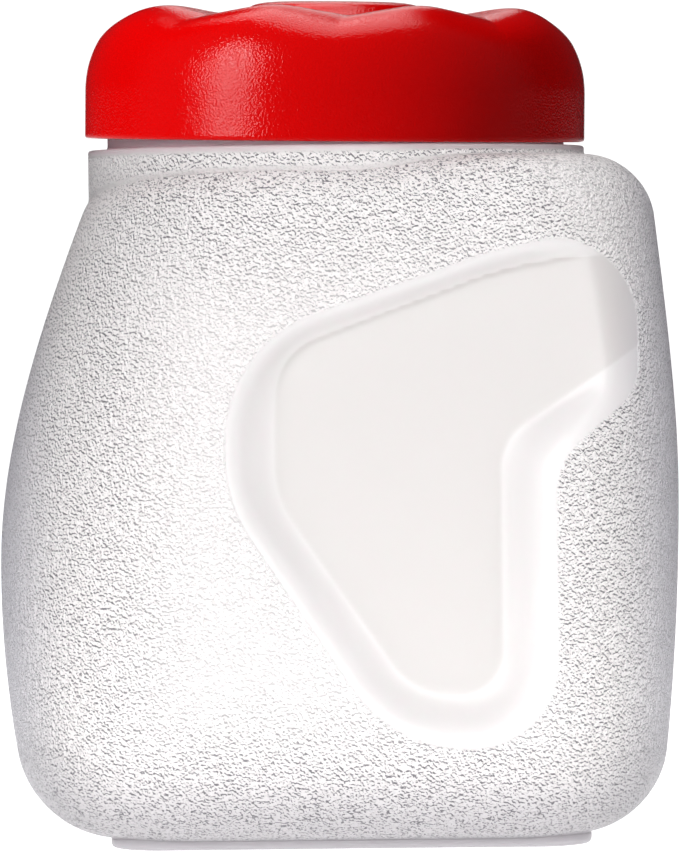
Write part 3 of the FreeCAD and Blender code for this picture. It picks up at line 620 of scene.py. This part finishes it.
def flat_floor():
    """A pale floor that glows, whiter towards the back where it runs out into the light backdrop, with a painted pool
    of light behind the jar.
    """
    verts = [(-7, -7, -0.00002), (7, -7, -0.00002), (7, 14, -0.00002), (-7, 14, -0.00002)]
    mesh = bpy.data.meshes.new("pale_floor")
    mesh.from_pydata(verts, [], [(0, 1, 2, 3)])
    obj = bpy.data.objects.new("pale_floor", mesh)
    bpy.context.scene.collection.objects.link(obj)
    mat = plain_material("pale_floor", (0.84, 0.84, 0.85), 0.0)
    nodes, links = mat.node_tree.nodes, mat.node_tree.links
    split = nodes.new("ShaderNodeSeparateXYZ")
    links.new(nodes.new("ShaderNodeTexCoord").outputs["Object"], split.inputs[0])
    ramp = nodes.new("ShaderNodeMapRange")
    ramp.interpolation_type = "SMOOTHSTEP"
    links.new(split.outputs[1], ramp.inputs["Value"])
    ramp.inputs["From Min"].default_value = FLOOR_DARK_Y
    ramp.inputs["From Max"].default_value = FLOOR_WHITE_Y
    ramp.inputs["To Min"].default_value = 0.0
    ramp.inputs["To Max"].default_value = 1.02
    glow = [n for n in nodes if n.type == "BSDF_PRINCIPLED"][0]
    reach = math_node(nodes, links, "DIVIDE", math_node(nodes, links, "ABSOLUTE", split.outputs[0]),
                      math_node(nodes, links, "ADD", split.outputs[1], 1.4))
    # painted light: the glow is full only in a narrow wedge running back behind the jar and dim beside it
    pool = nodes.new("ShaderNodeMapRange")
    pool.interpolation_type = "SMOOTHSTEP"
    links.new(reach, pool.inputs["Value"])
    pool.inputs["From Min"].default_value = 0.056
    pool.inputs["From Max"].default_value = 0.17
    pool.inputs["To Min"].default_value = 1.0
    pool.inputs["To Max"].default_value = 0.12
    links.new(math_node(nodes, links, "MULTIPLY", ramp.outputs[0], pool.outputs[0]), glow.inputs["Emission Strength"])
    obj.data.materials.append(mat)
    return obj


FLOOR_DARK_Y, FLOOR_WHITE_Y = -0.30, -0.05
floor = flat_floor()


def area_light(name, spot, aim, size, power, colour=(1, 1, 1)):
    data = bpy.data.lights.new(name, "AREA")
    data.shape = "RECTANGLE"
    data.size, data.size_y = size
    data.energy = power
    data.color = colour
    obj = bpy.data.objects.new(name, data)
    obj.location = spot
    obj.rotation_euler = (Vector(aim) - Vector(spot)).to_track_quat("-Z", "Y").to_euler()
    obj.visible_camera = False
    bpy.context.scene.collection.objects.link(obj)
    return obj


key = area_light("key_left", (-1.09, -0.93, 0.50), (0, 0, 0.15), (0.58, 1.10), 19.6)
key_top = area_light("key_top", (-1.09, -0.93, 1.22), (0, 0, 0.17), (0.34, 0.42), 6.5)
overhead = area_light("overhead", (-0.05, 0.30, 1.25), (0, 0, 0.1), (0.6, 1.1), 9.0)
overhead.rotation_euler = (0, 0, math.radians(25))
area_light("back_top", (0.0, 1.15, 0.95), (0, 0, 0.17), (0.30, 0.9), 1.0)
fill = area_light("front_soft", (-0.12, -2.1, 0.46), (0, 0, 0.09), (2.2, 1.3), 54.0)
strip = area_light("strip_left", (-1.25, -1.0, 0.35), (0, 0, 0.09), (0.14, 0.9), 1.4)
# the key shapes the glossy cap; the broad frontal light suits the milky jar
for lamp, lit in ((key, (cap,)), (key_top, (cap,)), (fill, (jar,)), (strip, (jar,))):
    chosen = bpy.data.collections.new(lamp.name + "_lit")
    for o in lit:
        chosen.objects.link(o)
    lamp.light_linking.receiver_collection = chosen

# soft surroundings: a light backdrop behind, darker at the sides and in front
world = bpy.data.worlds.new("soft_room")
bpy.context.scene.world = world
world.use_nodes = True
nodes, links = world.node_tree.nodes, world.node_tree.links
background = nodes["Background"]
split = nodes.new("ShaderNodeSeparateXYZ")
links.new(nodes.new("ShaderNodeTexCoord").outputs["Generated"], split.inputs[0])
ramp = nodes.new("ShaderNodeMapRange")
ramp.interpolation_type = "SMOOTHSTEP"
links.new(split.outputs[1], ramp.inputs["Value"])
ramp.inputs["From Min"].default_value = BACK_FROM
ramp.inputs["From Max"].default_value = BACK_FULL
ramp.inputs["To Min"].default_value = 0.0
ramp.inputs["To Max"].default_value = 1.0
flags = nodes.new("ShaderNodeMapRange")
flags.interpolation_type = "SMOOTHSTEP"
links.new(split.outputs[1], flags.inputs["Value"])
flags.inputs["From Min"].default_value = 0.0
flags.inputs["From Max"].default_value = 0.35
sides = mix_colour(nodes, links, flags.outputs[0], SIDE_TONE, FLAG_TONE)
room = mix_colour(nodes, links, ramp.outputs[0], sides, BACK_TONE)
links.new(room, background.inputs[0])
background.inputs[1].default_value = 1.0
bpy.context.scene.view_settings.view_transform = "Standard"
bpy.context.scene.view_settings.look = "None"

# ---------------------------------------------------------------- camera
cam_data = bpy.data.cameras.new("camera")
cam = bpy.data.objects.new("camera", cam_data)
bpy.context.scene.collection.objects.link(cam)
bpy.context.scene.camera = cam
cam_data.sensor_fit = "HORIZONTAL"
cam_data.sensor_width = 36.0
cam_data.lens = 335.87
cam_data.clip_start, cam_data.clip_end = 0.05, 20.0
cam.location = (0.00033, -1.4, 0.1263)
look = Vector((0.00033, 0.0, 0.0896)) - cam.location
turn = look.to_track_quat("-Z", "Y") @ Quaternion((0, 0, 1), math.radians(-0.62))
cam.rotation_mode = "QUATERNION"
cam.rotation_quaternion = turn
